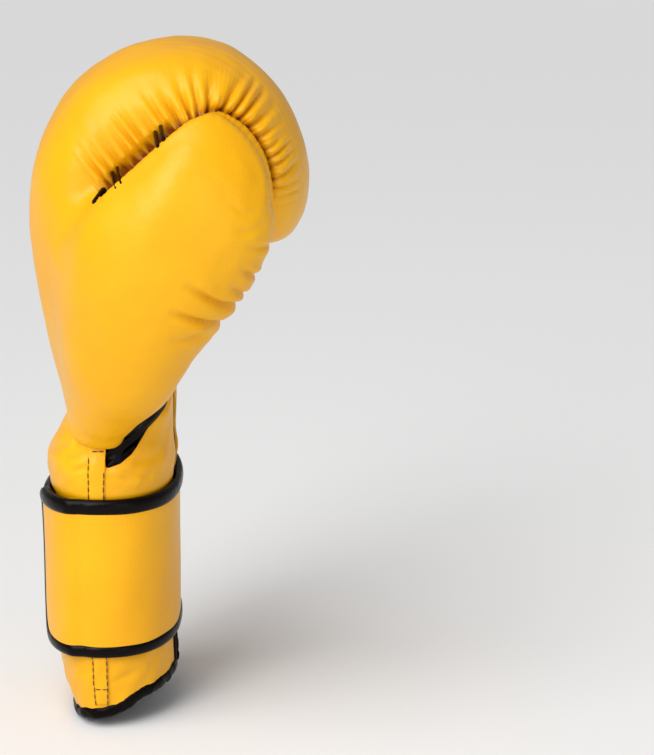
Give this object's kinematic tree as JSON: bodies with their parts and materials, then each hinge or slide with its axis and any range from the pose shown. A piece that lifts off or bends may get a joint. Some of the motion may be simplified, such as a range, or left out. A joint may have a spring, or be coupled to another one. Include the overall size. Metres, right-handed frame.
{
  "type": "boxing glove",
  "caption": "Left-hand padded leather boxing glove with an attached thumb and a wrist strap that closes on hook-and-loop tape.",
  "frame": {"origin": "centre of the bounding box, on the plane of the cuff's hem", "axes": "+Z from the cuff's hem up to the knuckles, -X the back of the hand, +X the palm, -Y the thumb side"},
  "size_m": [0.1346, 0.1535, 0.3294],
  "materials": {
    "yellow_leather": "glossy yellow leather with fine grain, gathered at its seams",
    "black_leather": "glossy black leather binding",
    "foam": "moulded foam padding",
    "lining_cloth": "black woven lining",
    "hook_loop_tape": "black hook-and-loop tape"
  },
  "bodies": {
    "cuff": {"cuff_shell": "yellow_leather", "cuff_padding": "foam", "cuff_lining": "lining_cloth", "tongue": "black_leather", "hem_binding": "black_leather", "slit_binding_thumb": "black_leather", "slit_binding_little": "black_leather", "seam_strip": "yellow_leather", "fixed_band": "yellow_leather", "fixed_band_bottom_binding": "black_leather", "fixed_band_top_binding": "black_leather", "loop_patch": "hook_loop_tape", "strap_root": "yellow_leather", "strap_root_bottom_binding": "black_leather", "strap_root_top_binding": "black_leather"},
    "hand": {"back_panel": "yellow_leather", "palm_panel": "yellow_leather", "finger_panel": "yellow_leather", "thumb_gusset": "black_leather", "knuckle_pad_outer": "foam", "knuckle_pad_inner": "foam", "palm_pad": "foam", "finger_pad": "foam", "hand_lining": "lining_cloth"},
    "thumb": {"thumb_outer_panel": "yellow_leather", "thumb_inner_panel": "yellow_leather", "thumb_pad_outer": "foam", "thumb_pad_inner": "foam", "thumb_lining": "lining_cloth"},
    "strap_first": {"strap_palm": "yellow_leather", "strap_palm_bottom_binding": "black_leather", "strap_palm_top_binding": "black_leather"},
    "strap_second": {"strap_middle": "yellow_leather", "strap_middle_bottom_binding": "black_leather", "strap_middle_top_binding": "black_leather"},
    "strap_last": {"strap_end": "yellow_leather", "strap_end_bottom_binding": "black_leather", "strap_end_top_binding": "black_leather", "strap_tip_binding": "black_leather", "hook_patch": "hook_loop_tape"}
  },
  "joints": [
    {"name": "wrist_flex", "type": "hinge", "parent": "cuff", "child": "hand", "pos_m": [-0.0264, 0.0159, 0.1422], "axis": [0, 1, 0], "range_deg": [-6, 6], "stiffness_Nm_per_rad": 8},
    {"name": "thumb_flex", "type": "hinge", "parent": "hand", "child": "thumb", "pos_m": [-0.0139, -0.0121, 0.147], "axis": [1, 0, 0], "range_deg": [0, 5], "stiffness_Nm_per_rad": 3},
    {"name": "strap_peel", "type": "hinge", "parent": "cuff", "child": "strap_first", "pos_m": [0.00523, 0.02841, 0.078], "axis": [0, 0, 1], "range_deg": [0, 60]},
    {"name": "strap_bend", "type": "hinge", "parent": "strap_first", "child": "strap_second", "pos_m": [-0.00418, -0.02163, 0.078], "axis": [0, 0, 1], "range_deg": [0, 50]},
    {"name": "strap_curl", "type": "hinge", "parent": "strap_second", "child": "strap_last", "pos_m": [-0.04149, -0.03379, 0.078], "axis": [0, 0, 1], "range_deg": [0, 45]}
  ],
  "couplings": [
    {"joint": "strap_bend", "follows": "strap_peel", "ratio": 0.83333},
    {"joint": "strap_curl", "follows": "strap_peel", "ratio": 0.75}
  ]
}
